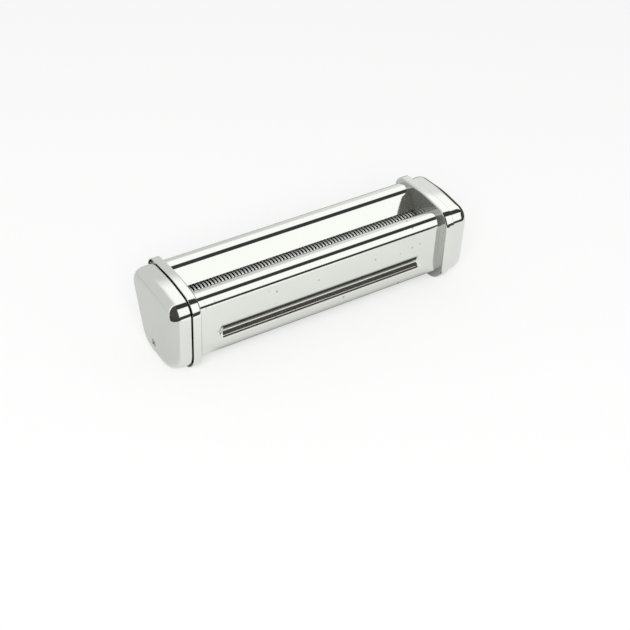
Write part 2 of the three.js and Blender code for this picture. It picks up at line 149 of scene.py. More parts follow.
# Rings about a line along X: each x with the centre plus the radius times the cosine and sine of each turn.
def ringsAt(x, centre, radius, turn):
    y, z = centre[0] + radius * np.cos(turn), centre[1] + radius * np.sin(turn)
    return np.stack([np.broadcast_to(x, y.shape), y, z], -1)


# A profile of (x, radius) turned about a line along X through (y, z).
def turnedPart(profile, centre, facets=48):
    profile = np.asarray(profile, float)
    return gridPart(ringsAt(profile[:, :1], centre, profile[:, 1:], wholeTurn(facets)))


# How far a line that leans by so many degrees moves over for each millimetre up.
def leanOf(degrees):
    return math.tan(math.radians(degrees))


# Points (y, z) round a centre: radius times the cosine and the sine of each turn.
def polar(centre, radius, turn):
    return np.c_[centre[0] + radius * np.cos(turn), centre[1] + radius * np.sin(turn)]


def circle(centre, radius, count=48):
    return polar(centre, radius, wholeTurn(count))


# Angles in degrees from +Y towards +Z.
def arc(centre, radius, start, end, count):
    return polar(centre, radius, np.radians(np.linspace(start, end, count)))


# A quarter round as (out, up): the radius times one less the sine and one less the cosine of its turn.
def quarterRound(radius, count):
    turn = np.radians(np.linspace(0, 90, count))
    return radius * np.c_[1 - np.sin(turn), 1 - np.cos(turn)]


def unit(vectors):
    return vectors / np.linalg.norm(vectors, axis=-1, keepdims=True)


# A polyline with rounded corners, each (first, second, radius), between ends of radius 0. An arc is its
# two ends blended by the sines of their shares of its swing.
def roundedLine(corners, steps=8):
    corners = np.asarray(corners, float)
    line = [corners[:1, :2]]
    for before, here, after in zip(corners[:-2], corners[1:-1], corners[2:]):
        back, on = unit(before[:2] - here[:2]), unit(after[:2] - here[:2])
        half = math.acos(np.clip(back @ on, -1, 1)) / 2
        run = here[2] / math.tan(half)
        t = np.linspace(0, 1, steps)[:, None]
        centre = here[:2] + unit(back + on) * here[2] / math.sin(half)
        a, b = here[:2] + back * run - centre, here[:2] + on * run - centre
        swing = math.pi - 2 * half
        spread = np.sin((1 - t) * swing) * a + np.sin(t * swing) * b
        line.append(centre + spread / max(math.sin(swing), 1e-9))
    line.append(corners[-1:, :2])
    return np.vstack(line)


# The line moved to its right by a distance, along the mean normal of its two sides.
def offsetLine(line, distance):
    step = np.diff(line, axis=0)
    normal = unit(np.c_[step[:, 1], -step[:, 0]])
    first = np.vstack([normal[:1], normal])
    second = np.vstack([normal, normal[-1:]])
    side = unit(first + second)
    return line + side * distance / np.sum(side * second, axis=1)[:, None]


# Fills straight stretches with points no further apart than the step.
def refine(line, step):
    pieces = []
    for a, b in zip(line[:-1], line[1:]):
        count = max(1, int(np.ceil(np.linalg.norm(b - a) / step)))
        pieces.append(a + (b - a) * np.linspace(0, 1, count, endpoint=False)[:, None])
    return np.vstack([*pieces, line[-1:]])


# A sheet of one thickness: its outer line in (y, z) carried over stations of x, edges eased by a share of
# it. The push adds to y what a function of (x, y, z) gives.
def sheetParts(line, thickness, stations, push=None, eased=0.22):
    ease = eased * thickness
    inner = offsetLine(line, thickness)
    start, end = unit(line[1] - line[0]), unit(line[-2] - line[-1])
    outerLine = np.vstack([line[0] + start * ease, line[1:-1], line[-1] + end * ease])
    innerLine = np.vstack([inner[0] + start * ease, inner[1:-1], inner[-1] + end * ease])
    edgeIn, edgeOut = offsetLine(line, ease), offsetLine(line, thickness - ease)
    loop = np.vstack([edgeIn[:1], outerLine, edgeIn[-1:], edgeOut[-1:], innerLine[::-1], edgeOut[:1]])
    points = np.stack([loopAt(x, loop) for x in stations])
    if push:
        points[..., 1] += push(*np.moveaxis(points, -1, 0))
    n = len(line)
    a = np.arange(n + 2)
    b = np.concatenate([[2 * n + 3], 2 * n + 2 - np.arange(n), [n + 2]])
    strip = np.stack([a[:-1], a[1:], b[1:], b[:-1]], -1)
    return [
        gridPart(points),
        (points[0], strip.tolist()),
        (points[-1], strip[:, ::-1].tolist()),
    ]


def addObject(name, data):
    added = bpy.data.objects.new(name, data)
    bpy.context.scene.collection.objects.link(added)
    return added


# Joins parts into one closed mesh, named after the node it stands for; the left side mirrors the right.
def makePiece(node, parts, material, body="head", side="right", sharp=32):
    mergeWithin, degenerate = 2e-6, 1e-7  # metres
    first, *rest = node.split("_")
    name = first + "".join(word.capitalize() for word in rest)
    points, faces, count = [], [], 0
    for part, quads in parts:
        points.append(part)
        faces += [[i + count for i in face] for face in quads]
        count += len(part)
    points = np.vstack(points) * ([-mm, mm, mm] if side == "left" else mm)
    mesh = bpy.data.meshes.new(name)
    mesh.from_pydata(points.tolist(), [], faces)
    shell = bmesh.new()
    shell.from_mesh(mesh)
    bmesh.ops.remove_doubles(shell, verts=shell.verts, dist=mergeWithin)
    bmesh.ops.dissolve_degenerate(shell, edges=shell.edges, dist=degenerate)
    bmesh.ops.recalc_face_normals(shell, faces=shell.faces)
    shell.to_mesh(mesh)
    shell.free()
    mesh.shade_smooth()
    mesh.set_sharp_from_angle(angle=math.radians(sharp))
    mesh.materials.append(material)
    piece = addObject(name, mesh)
    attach(piece, body)
    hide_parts(node)


def nodeTree(owner, clear=True):
    owner.use_nodes = True
    if clear:
        owner.node_tree.nodes.clear()
    return owner.node_tree


# Adds a shader node; each input is a value or an output to link from.
def addNode(tree, kind, inputs=(), **settings):
    node = tree.nodes.new("ShaderNode" + kind)
    for key, value in settings.items():
        setattr(node, key, value)
    for key, value in dict(inputs).items():
        if isinstance(value, bpy.types.NodeSocket):
            tree.links.new(value, node.inputs[key])
        else:
            node.inputs[key].default_value = value
    return node


def pointOf(tree, space="Object"):
    return addNode(tree, "TexCoord").outputs[space]


# Low plus high less low times the value's share of the way from start to end, held at both.
def ramped(value, start, end, low=0.0, high=1.0):
    limits = {"From Min": start, "From Max": end, "To Min": low, "To Max": high}
    return addNode(value.id_data, "MapRange", {"Value": value, **limits}).outputs["Result"]


# The first value is an output, whose tree the node goes in.
def computed(operation, *values):
    return addNode(values[0].id_data, "Math", dict(enumerate(values)), operation=operation).outputs[0]


def product(a, b):
    return computed("MULTIPLY", a, b)


def greater(a, b):
    return computed("MAXIMUM", a, b)


def scaled(color, level):
    return tuple(c * level for c in color)


# Two colours mixed, each (r, g, b), a grey level or an output; the share or the first is an output.
def mixed(share, first, second, blend="MIX"):
    inputs = {"Fac": share}
    for name, value in (("Color1", first), ("Color2", second)):
        if not isinstance(value, bpy.types.NodeSocket):
            value = (*(value if isinstance(value, tuple) else (value,) * 3), 1)
        inputs[name] = value
    linked = share if isinstance(share, bpy.types.NodeSocket) else first
    return addNode(linked.id_data, "MixRGB", inputs, blend_type=blend).outputs["Color"]


# A run of grey levels by position, set out as (position, level).
def greyRamp(stops, factor):
    ramp = addNode(factor.id_data, "ValToRGB", {"Fac": factor})
    elements = ramp.color_ramp.elements
    low, high = stops[0][0], stops[-1][0]
    for number, (at, level) in enumerate(stops):
        share = (at - low) / (high - low)
        stop = elements[number] if number < 2 else elements.new(share)
        stop.position, stop.color = share, (level, level, level, 1)
    return ramp.outputs["Color"]


clouds = dict(scale=60.0, detail=5.0, start=0.35, end=0.7, darker=0.97)  # scale is per metre
hairs = dict(scale=1500, detail=3.0)


# A bright metal: its gloss varies in faint clouds, the sheet is a little wavy and has hair scratches. Lengths
# are in millimetres: wave and hair are heights, waveSize is a width.
def metalFinish(name, color, roughness, smear=0.04, wave=0.0, waveSize=18.0, hair=0.0, hairScale=(1, 1, 1),
                metallic=1.0, specks=None):
    material = bpy.data.materials.new(name)
    tree = nodeTree(material, clear=False)
    shader = tree.nodes["Principled BSDF"]
    shader.inputs["Metallic"].default_value = metallic
    point = pointOf(tree)
    noise = {"Vector": point, "Scale": clouds["scale"], "Detail": clouds["detail"]}
    cloud = addNode(tree, "TexNoise", noise).outputs["Fac"]
    tint = mixed(cloud, scaled(color, clouds["darker"]), color)
    gloss = ramped(cloud, clouds["start"], clouds["end"], roughness, roughness + smear)
    if specks:
        dots = addNode(tree, "TexVoronoi", {"Vector": point, "Scale": 1000 / specks["cell"]})
        reach = specks["radius"] / specks["cell"]
        inside = ramped(dots.outputs["Distance"], reach, 0.5 * reach)
        pick = addNode(tree, "SeparateColor", {"Color": dots.outputs["Color"]}).outputs["Red"]
        chosen = computed("LESS_THAN", pick, specks["share"])
        tint = mixed(product(inside, chosen), tint, scaled(color, specks["level"]))
    tree.links.new(tint, shader.inputs["Base Color"])
    tree.links.new(gloss, shader.inputs["Roughness"])
    bumped = {}
    waves = (wave, 1000 / waveSize, (1, 1, 1), 1.0)
    scratches = (hair, hairs["scale"], hairScale, hairs["detail"])
    for amount, scale, stretch, detail in (waves, scratches):
        if amount:
            stretched = addNode(tree, "Mapping", {"Vector": point, "Scale": stretch}).outputs["Vector"]
            rough = addNode(tree, "TexNoise", {"Vector": stretched, "Scale": scale, "Detail": detail})
            height = {"Height": rough.outputs["Fac"], "Distance": amount * mm, "Strength": 1.0}
            bumped["Normal"] = addNode(tree, "Bump", {**height, **bumped}).outputs["Normal"]
    if bumped:
        tree.links.new(bumped["Normal"], shader.inputs["Normal"])
    return material


# Ground steel with painted shade in the grooves: bright on the lands and dark down in the grooves, by the
# distance from the roller's axis.
def groovedShadedFinish(name, axis, groove, metal):
    material = metalFinish(name, **metal)
    tree = material.node_tree
    point = pointOf(tree)
    centre = (0, axis[0] * mm, axis[1] * mm)
    away = addNode(tree, "VectorMath", {0: point, 1: centre}, operation="SUBTRACT").outputs["Vector"]
    across = addNode(tree, "VectorMath", {0: away, 1: (0, 1, 1)}, operation="MULTIPLY").outputs["Vector"]
    radius = addNode(tree, "VectorMath", {0: across}, operation="LENGTH").outputs["Value"]
    dark, bright = [(drumRadius - groove[key]) * mm for key in ("darkFrom", "brightFrom")]
    color = mixed(ramped(radius, dark, bright), groove["color"], metal["color"])
    tree.links.new(color, tree.nodes["Principled BSDF"].inputs["Base Color"])
    return material


# Chrome with painted shade on the faces turned to the rollers, |x| below the given line: a darker, streaky
# and less metallic colour there.
def innerShadedFinish(name, inner, metal):
    material = metalFinish(name, **metal)
    tree = material.node_tree
    shader = tree.nodes["Principled BSDF"]
    point = pointOf(tree)
    away = computed("ABSOLUTE", addNode(tree, "SeparateXYZ", {"Vector": point}).outputs["X"])
    span = [(bodyHalf + inner[key]) * mm for key in ("start", "end")]
    streaks = addNode(tree, "Mapping", {"Vector": point, "Scale": inner["stretch"]}).outputs["Vector"]
    noise = {"Vector": streaks, "Scale": inner["grain"], "Detail": inner["detail"]}
    grain = addNode(tree, "TexNoise", noise).outputs["Fac"]
    # painted shade: streaky levels of the chrome colour, low to high
    dull = mixed(grain, scaled(metal["color"], inner["low"]), scaled(metal["color"], inner["high"]))
    color = mixed(ramped(away, *span), dull, metal["color"])
    tree.links.new(color, shader.inputs["Base Color"])
    tree.links.new(ramped(away, *span, inner["metallic"]), shader.inputs["Metallic"])
    return material


finishes = dict(
    chrome=dict(color=(0.77, 0.79, 0.75), roughness=0.07, smear=0.03, wave=0.004, waveSize=14.0),
    panel=dict(color=(0.775, 0.79, 0.745), roughness=0.06, smear=0.03, wave=0.003, waveSize=22.0),
    roller=dict(color=(0.95, 0.95, 0.93), roughness=0.24, smear=0.04, hair=0.002, hairScale=(8, 0.6, 0.6),
                metallic=0.25),
    brass=dict(color=(0.66, 0.49, 0.24), roughness=0.34, smear=0.1, hair=0.003, hairScale=(6, 1, 1)),
    zinc=dict(color=(0.60, 0.61, 0.60), roughness=0.32, smear=0.1, hair=0.004, hairScale=(1, 1, 1)),
    comb=dict(color=(0.66, 0.66, 0.65), roughness=0.26, smear=0.08, hair=0.003, hairScale=(0.4, 4, 4)),
)
frontSpecks = dict(cell=6.0, radius=0.9, share=0.5, level=0.6)  # a few dull spots of wear
# Painted shade in the roller grooves: its colour, and the depths below the lands (mm) where it is full and
# where it has ended.
rollerShade = dict(color=(0.012, 0.012, 0.011), darkFrom=0.2, brightFrom=0.03)  # mm below the lands
# Painted shade on the side frames' inner faces, inside |x| of the body's half plus start to end: streaky
# levels low to high of the chrome colour, and a lower metallic.
innerFaceShade = dict(start=0.1, end=0.25, grain=900.0, detail=3.0, stretch=(1, 1, 0.08), low=0.54, high=0.78,
                 metallic=0.74)
chromePlate = metalFinish("chromePlate", **finishes["chrome"])
frameChrome = innerShadedFinish("frameChrome", innerFaceShade, finishes["chrome"])
panelChrome = metalFinish("panelChrome", **finishes["panel"])
frontChrome = metalFinish("frontChrome", **finishes["panel"], specks=frontSpecks)
driveSteel = groovedShadedFinish("groundSteelDrive", driveAxis, rollerShade, finishes["roller"])
drivenSteel = groovedShadedFinish("groundSteelDriven", drivenAxis, rollerShade, finishes["roller"])
bushBrass = metalFinish("dullBushBrass", **finishes["brass"])
zincPlate = metalFinish("zincPlate", **finishes["zinc"])
combSteel = metalFinish("stampedCombSteel", **finishes["comb"])
print("finishes made")


frontPanel = dict(
    foldHeight=8.4,  # z of the fold at the foot
    foldRadius=1.0, flange=6.0, railRadius=6.7,
    guideLean=15.0,  # degrees from upright
    railSteps=72,
)
pressedGroove = dict(
    length=127.0,
    deepest=18.45,  # z of the line where its two walls meet
    depth=1.45,
    # how steeply each wall leans in, as (distance from the deepest line, degrees)
    above=[(0, 0), (0.5, 16.1), (3.35, 16.1), (7.1, 0)],
    below=[(0, 0), (0.4, 22), (2.2, 22), (2.5, 17.5), (2.7, 17.5), (2.95, 22), (3.6, 22), (4.1, 0)],
    end=[(0, 0), (0.6, 30), (2.2, 30), (3.4, 0)],
    # the mesh is fine over the groove and this far past its edges, and close to its ends
    margin=0.4, rows=86, endSpan=(4.2, 0.3), endRows=30,
    middle=(54.0, 22),  # |x| of the even rows between, and their count
    within=1.2,  # the press takes in what lies so many sheets behind the face
)


# The depth left at a distance from the deepest line: the wall's slopes summed from its far edge inwards.
def wallDepth(distance, slopes, depth, samples=400, beyond=0.01):
    at, degrees = np.array(slopes, float).T
    run = np.linspace(0, at[-1], samples)
    slope = np.tan(np.radians(np.interp(run, at, degrees)))
    left = np.concatenate([np.cumsum(slope[::-1])[::-1], [0]])
    return np.interp(distance, np.append(run, run[-1] + beyond), left * depth / left[0], right=0)


# Depth of the groove at (x, z): along its length that of the walls above and below; round each end the
# distance is measured from the end of the deepest line and scaled to the reach in that direction.
def grooveDepth(x, z, spec):
    endReach = spec["end"][-1][0]
    along = np.maximum(np.abs(x) - (spec["length"] / 2 - endReach), 0)
    rise = z - spec["deepest"]
    depth = np.zeros_like(rise)
    for wall, sign in (("above", 1), ("below", -1)):
        reach = spec[wall][-1][0]
        share = np.hypot(along / endReach, rise / reach)
        turn = np.arctan2(along / endReach, np.abs(rise) / reach)
        side = wallDepth(share * reach, spec[wall], spec["depth"])
        end = wallDepth(share * endReach, spec["end"], spec["depth"])
        depth = np.where(sign * rise >= 0, side * np.cos(turn) ** 2 + end * np.sin(turn) ** 2, depth)
    return depth


# The sheet's outer line goes from the folded foot up the flat face, round the rail and down the guide; the
# groove's depth is added to y on the face.
def buildFrontPanel(spec, groove):
    face, crest = panelLow[1], panelHigh[2]
    centre = (face + spec["railRadius"], crest - spec["railRadius"])
    drop = spec["flange"] * math.sqrt(0.5)
    fold = roundedLine([
        (face + drop, spec["foldHeight"] - drop, 0),
        (face, spec["foldHeight"], spec["foldRadius"]),
        (face, centre[1], 0),
    ])
    rail = arc(centre, spec["railRadius"], 180, spec["guideLean"], spec["railSteps"])
    lean = leanOf(spec["guideLean"])
    foot = [rail[-1, 0] + (rail[-1, 1] - place["guideFoot"]) * lean, place["guideFoot"]]
    low = groove["deepest"] - groove["below"][-1][0] - groove["margin"]
    high = groove["deepest"] + groove["above"][-1][0] + groove["margin"]
    wall = np.linspace(low, high, groove["rows"])
    line = np.vstack([fold[:-1], np.c_[np.full(len(wall), face), wall], rail, [foot]])
    endOfPress = groove["length"] / 2
    before, past = groove["endSpan"]
    ends = np.linspace(endOfPress - before, endOfPress + past, groove["endRows"])
    reach, count = groove["middle"]
    middle = np.linspace(-reach, reach, count)
    stations = np.concatenate([[-bodyHalf], -ends[::-1], middle, ends, [bodyHalf]])

    def push(x, y, z):
        flatWall = y < face + groove["within"] * place["sheet"]
        return np.where(flatWall, grooveDepth(x, z, groove), 0)

    parts = sheetParts(line, place["sheet"], stations, push)
    makePiece("front_panel", parts, frontChrome)


buildFrontPanel(frontPanel, pressedGroove)


rearPanel = dict(
    railRadius=7.5, guideLean=37.0, guideFoot=place["guideFoot"] + 0.5,
    slope=21.3,  # degrees from upright, of the wall
    wallFoot=8.0, foldRadius=1.6, flange=3.5, railSteps=84, columns=31,
)
rearRail = rearHigh[1:] - rearPanel["railRadius"]  # (y, z) of the rail's middle line


# y of the rear wall's outer face at a height, along its slope from where it touches the rail.
def rearWallAt(z, spec=rearPanel):
    touch = arc(rearRail, spec["railRadius"], -spec["slope"], -spec["slope"], 1)[0]
    return touch[0] - (touch[1] - z) * leanOf(spec["slope"])


# The outer line goes from the guide's foot up and round the rail, down the leaning wall and round the fold.
def buildRearPanel(spec):
    start, end = 180 - spec["guideLean"], -spec["slope"]
    rail = arc(rearRail, spec["railRadius"], start, end, spec["railSteps"])
    lean = leanOf(spec["guideLean"])
    foot = [rail[0, 0] - (rail[0, 1] - spec["guideFoot"]) * lean, spec["guideFoot"]]
    drop = spec["flange"] * math.sqrt(0.5)
    bottom = rearWallAt(spec["wallFoot"])
    fold = roundedLine([
        (*rail[-1], 0),
        (bottom, spec["wallFoot"], spec["foldRadius"]),
        (bottom - drop, spec["wallFoot"] - drop, 0),
    ])
    line = np.vstack([[foot], rail, fold[1:]])
    stations = np.linspace(-bodyHalf, bodyHalf, spec["columns"])
    parts = sheetParts(line, place["sheet"], stations)
    makePiece("rear_panel", parts, panelChrome)


buildRearPanel(rearPanel)

rearHook = dict(
    width=14.0, sheet=1.2, top=20.0, foot=8.0, reach=4.2, lip=7.0,
    bend=1.9,  # outer radius of the bends
    cornerRadius=2.4,  # of the tab's and the lip's free corners
    step=0.35,  # of the mesh along the strip
    columns=9,
)


# The strip's line is carried over a share of its width, which narrows towards its two free ends as a
# circle does and so rounds their corners.
def buildRearHook(node, spec):
    middle = sum(spanOf(node)) / 2
    lean = leanOf(rearPanel["slope"])
    clear = place["gap"] / math.cos(math.radians(rearPanel["slope"]))
    back = rearWallAt(spec["top"]) + clear
    tab = (back - (spec["top"] - spec["foot"]) * lean, spec["foot"])
    out = back + 2 * spec["sheet"] + spec["reach"]
    line = roundedLine([
        (*tab, 0), (back, spec["top"], spec["bend"]), (out, spec["top"], spec["bend"]),
        (out, spec["top"] - spec["lip"], 0),
    ])
    line = refine(line, spec["step"])
    run = np.concatenate([[0], np.cumsum(np.linalg.norm(np.diff(line, axis=0), axis=1))])
    toEnd = np.minimum(run, run[-1] - run)
    r = spec["cornerRadius"]
    within = np.clip(toEnd / r, 0, 1)
    halfWidth = spec["width"] / 2 - r * (1 - np.sqrt(1 - (1 - within) ** 2))
    share = np.linspace(-1, 1, spec["columns"])[:, None]
    grids = []
    for skin in (line, offsetLine(line, spec["sheet"])):
        across = np.broadcast_to(skin, (len(share), *skin.shape))
        grids.append(np.dstack([middle + share * halfWidth, across]))
    rims = [np.vstack([g[0], g[1:, -1], g[-1, -2::-1], g[-2:0:-1, 0]]) for g in grids]
    parts = [*[gridPart(g, closeCols=False) for g in grids], gridPart(np.stack(rims))]
    makePiece(node, parts, zincPlate)


for side in sides:
    buildRearHook(f"rear_hook_{side}", rearHook)

rivet = dict(height=13.5, shank=1.1, head=2.1, dome=0.75, tail=0.7, tailFace=0.8, bevel=0.15, facets=32,
             domeSteps=9)


# A domed rivet: a profile of (distance, radius) turned about the rear wall's normal.
def buildRivet(number, spec):
    node = f"hook_rivet_{number}"
    outside, inside = place["gap"] + rearHook["sheet"], -place["sheet"]
    swell = np.radians(np.linspace(90, 0, spec["domeSteps"]))
    domed = np.c_[outside + spec["dome"] * np.cos(swell), spec["head"] * np.sin(swell)]
    end = inside - spec["tail"]
    profile = np.vstack([
        [[end, 0], [end, spec["head"] * spec["tailFace"]], [inside - spec["bevel"], spec["head"]]],
        [[inside, spec["head"]], [inside, spec["shank"]], [outside, spec["shank"]], [outside, spec["head"]]],
        domed,
    ])
    points, faces = turnedPart(profile, (0, 0), spec["facets"])
    slope = math.radians(rearPanel["slope"])
    along = np.array([0, math.cos(slope), -math.sin(slope)])
    across = np.array([0, math.sin(slope), math.cos(slope)])
    seat = np.array([sum(spanOf(node)) / 2, rearWallAt(spec["height"]), spec["height"]])
    placed = seat + points[:, :1] * along + points[:, 1:2] * np.array([1, 0, 0]) + points[:, 2:] * across
    makePiece(node, [(placed, faces)], zincPlate)


for number in (1, 2, 3, 4):
    buildRivet(number, rivet)
print("body sheets made")


endOutline = dict(
    front=frameLow[1], crownY=-1.0, crown=48.3, shoulder=46.0, rearFootY=12.3, rearSlope=18.55,
    radii=(13.0, 16.0, 10.0, 70.0, 10.0),  # front foot, rear foot, rear top, crown, front top
)


# The rounded outline of an end moved in by a distance, with the same number of points for any. Every
# corner is an arc about the centre that touches its two sides; the front foot may be rounder by more.
def outlineAt(inset, more=0.0, steps=14, spec=endOutline):
    sharpest = 0.02  # radius that a corner keeps however far it is moved in
    lean = leanOf(spec["rearSlope"])
    corner = np.array([
        [spec["front"], 0],
        [spec["rearFootY"], 0],
        [spec["rearFootY"] + spec["shoulder"] * lean, spec["shoulder"]],
        [spec["crownY"], spec["crown"]],
        [spec["front"], spec["shoulder"]],
    ])
    radius = np.array(spec["radii"])[:, None] + [[more], [0], [0], [0], [0]]
    back, on = unit(np.roll(corner, 1, 0) - corner), unit(np.roll(corner, -1, 0) - corner)
    half = np.arccos(np.sum(back * on, 1))[:, None] / 2
    centre = corner + unit(back + on) * radius / np.sin(half)
    start = np.arctan2(-back[:, 0], back[:, 1])[:, None] + np.pi
    angle = start + (np.pi - 2 * half) * np.linspace(0, 1, steps)
    reach = np.maximum(radius - inset, sharpest)
    y = centre[:, :1] + reach * np.cos(angle)
    z = centre[:, 1:] + reach * np.sin(angle)
    return np.c_[y.ravel(), z.ravel()]


sideFrame = dict(
    bend=1.0,  # outer radius where the plate turns into the rim
    rim=0.6,  # thickness of the rim
    lip=0.28,  # round of the rim's free edge
    innerBend=1.5,
    rearTop=7.5,  # its rear top corner is tighter than the cap's
    bushHole=5.5, rodHole=2.3, pillarRadius=2.6, pillarBore=1.3, pillarAt=(-1.5, 11.0), steps=9,
    rodFacets=32, boreFacets=24,
)
rodNames = ("upper_front", "upper_rear", "lower_front", "lower_rear")
rodAt = {rod: sum(boxOf(f"{rod}_tie_rod"))[1:] / 2 for rod in rodNames}  # (y, z) of its middle line


# The rim's section as (x, inset) is carried round the outline; the plate closes it with its holes.
def buildSideFrame(side, spec):
    rim, count, facets = spec["rim"], spec["steps"], spec["rodFacets"]
    lip = quarterRound(spec["lip"], count)
    section = np.vstack([
        ([bodyHalf, 0] + quarterRound(spec["bend"], count))[::-1],
        [bandOuter, 0] + lip * [-1, 1],
        ([bandOuter, rim] - lip)[::-1],
        [plateOuter, rim] + quarterRound(spec["innerBend"], count),
    ])
    front, rearFoot, _, crown, top = endOutline["radii"]
    rimOutline = {**endOutline, "radii": (front, rearFoot, spec["rearTop"], crown, top)}
    loops = [outlineAt(inset, spec=rimOutline) for _, inset in section]
    rings = np.stack([loopAt(x, loop) for (x, _), loop in zip(section, loops)])
    holes = [circle(axis, spec["bushHole"]) for axis in (driveAxis, drivenAxis)]
    holes += [circle(centre, spec["rodHole"], facets) for centre in rodAt.values()]
    pillar = circle(spec["pillarAt"], spec["pillarRadius"], facets)
    pillarEnd = frameHigh[0]
    bore = circle(spec["pillarAt"], spec["pillarBore"], spec["boreFacets"])
    parts = [
        gridPart(rings),
        facePart(loops[0], bodyHalf, holes),
        facePart(loops[-1], plateOuter, [*holes, pillar]),
        *[wallPart(hole, bodyHalf, hole, plateOuter) for hole in holes],
        wallPart(pillar, plateOuter, pillar, pillarEnd),
        facePart(pillar, pillarEnd, [bore]),
        wallPart(bore, pillarEnd, bore, plateOuter),
        facePart(bore, plateOuter),
    ]
    makePiece(f"{side}_side_frame", parts, frameChrome, side=side)


for side in sides:
    buildSideFrame(side, sideFrame)


endCap = dict(
    step=1.2,  # in from the rim
    length=11.5,  # beyond the rim
    wall=1.0,
    seamStep=0.55,  # drawn in by this much more inside the rim
    seamRound=0.55,
    seamGap=0.15,  # from the rim's edge to where it starts to swell
    skirt=1.6,  # from the rim's edge to where it is straight
    fillet=6.0,
    footRound=2.0,  # the front foot grows rounder by this towards the end face
    draft=0.5,  # the end face leans in by this at its foot
    crankHole=6.8, holeRound=0.6, screwAt=(-1.5, 11.0), screwHole=1.25, seatRadius=1.9, seatDepth=1.0,
    seatRound=0.35, steps=dict(outer=18, inner=12, seam=7, edge=6),
)
capEnd = bandOuter + endCap["length"]


# x of the cap's end face at a height: the draft is taken off in full at its foot and not at its crown.
def capFaceAt(z):
    return capEnd - endCap["draft"] * (1 - z / endOutline["crown"])


# Rings of one skin of the cap: a skirt drawn in at the seam by a quarter round, a straight length, then
# the large quarter round into the end face, all leaning with the draft.
def capSkin(inset, end, fillet, steps, seam=0.0):
    swell, turn = quarterRound(1.0, endCap["steps"]["seam"]), quarterRound(fillet, steps)
    seamX = bandOuter + endCap["seamGap"] + endCap["seamRound"] * swell[:, 1]
    x = np.concatenate([[plateOuter], seamX, [bandOuter + endCap["skirt"]], end - turn[:, 0]])
    inward = np.concatenate([[seam], seam * swell[:, 0], [0], turn[:, 1]])
    rings = []
    for station, move in zip(x, inward):
        along = (station - plateOuter) / (end - plateOuter)
        loop = outlineAt(inset + move, endCap["footRound"] * along)
        lean = along * endCap["draft"] * (1 - loop[:, 1] / endOutline["crown"])
        rings.append(np.c_[station - lean, loop])
    return np.stack(rings)


# A flat part laid on the leaning face, moved out from it by a distance.
def onFace(part, out=0.0):
    points, faces = part
    points = points.copy()
    points[:, 0] = capFaceAt(points[:, 2]) + out
    return points, faces


# A round hole or seat in the leaning face: rings of (radius, depth) about one place.
def faceRings(centre, rings):
    loops = [(circle(centre, radius), depth) for radius, depth in rings]
    return np.stack([np.c_[capFaceAt(loop[:, 1]) - depth, loop] for loop, depth in loops])


# Two skins, one inside the other by the wall, joined at the skirt's edge and through the holes.
def buildEndCap(side, spec):
    wall, screwAt, deep, steps = spec["wall"], spec["screwAt"], spec["seatDepth"], spec["steps"]
    outer = capSkin(spec["step"], capEnd, spec["fillet"], steps["outer"], spec["seamStep"])
    inner = capSkin(spec["step"] + wall, capEnd - wall, spec["fillet"] - wall, steps["inner"])
    backRadius = spec["seatRadius"] + wall
    seat = np.vstack([
        [spec["seatRadius"], 0] + quarterRound(spec["seatRound"], steps["edge"]),
        [[spec["seatRadius"], deep], [spec["screwHole"], deep]],
        [[spec["screwHole"], deep + wall], [backRadius, deep + wall], [backRadius, wall]],
    ])
    outerHoles, innerHoles = [circle(screwAt, seat[0, 0])], [circle(screwAt, backRadius)]
    parts = [
        gridPart(outer),
        gridPart(inner),
        gridPart(np.stack([outer[0], inner[0]])),
        gridPart(faceRings(screwAt, seat)),
    ]
    if side == "right":
        eased = [spec["crankHole"], 0] + quarterRound(spec["holeRound"], steps["edge"])
        hole = np.vstack([eased, [[spec["crankHole"], wall]]])
        outerHoles.append(circle(driveAxis, hole[0, 0]))
        innerHoles.append(circle(driveAxis, spec["crankHole"]))
        parts.append(gridPart(faceRings(driveAxis, hole)))
    parts.append(onFace(facePart(outer[-1][:, 1:], 0, outerHoles)))
    parts.append(onFace(facePart(inner[-1][:, 1:], 0, innerHoles), -wall))
    makePiece(f"{side}_end_cap", parts, chromePlate, side=side)


for side in sides:
    buildEndCap(side, endCap)

capScrew = dict(
    head=1.55, headHeight=0.95, shank=0.95, length=7.0,
    crown=(0.3, 4),  # the head's edge lies lower by this, and the power it falls by
    point=(0.6, 0.3),  # length and radius
    slotWidth=0.5, slotDepth=0.5, slotEase=0.1,
    slotTurn=0.6,  # radians from +Y
    facets=96,
    rings=(20, 0.94),  # count of the rings inside the edge and the last one's share of the radius
)


# A cheese head whose top is a disc of (radius, turn), sunk where a straight slot crosses it.
def buildCapScrew(side, spec):
    seat = capFaceAt(endCap["screwAt"][1]) - endCap["seatDepth"]
    top = seat + spec["headHeight"]
    turn = wholeTurn(spec["facets"])
    (drop, power), (rings, last) = spec["crown"], spec["rings"]
    radius = np.concatenate([np.linspace(0, last, rings), [1.0]])[:, None] * spec["head"]
    y, z = radius * np.cos(turn), radius * np.sin(turn)
    across = y * math.cos(spec["slotTurn"]) + z * math.sin(spec["slotTurn"])
    into = (spec["slotWidth"] / 2 + spec["slotEase"] / 2 - np.abs(across)) / spec["slotEase"]
    sunk = np.clip(into, 0, 1) * spec["slotDepth"]
    x = top - drop * (radius / spec["head"]) ** power - sunk
    disc = ringsAt(x, endCap["screwAt"], radius, turn)
    rim = disc[-1].copy()
    rim[:, 0] = seat
    end, (pointLength, tip) = seat - spec["length"], spec["point"]
    shank = np.array([[seat, spec["head"]], [seat, spec["shank"]], [end, spec["shank"]],
                      [end - pointLength, tip], [end - pointLength, 0]])
    parts = [
        gridPart(disc),
        gridPart(np.stack([disc[-1], rim])),
        turnedPart(shank, endCap["screwAt"], spec["facets"]),
    ]
    makePiece(f"{side}_cap_screw", parts, zincPlate, side=side)


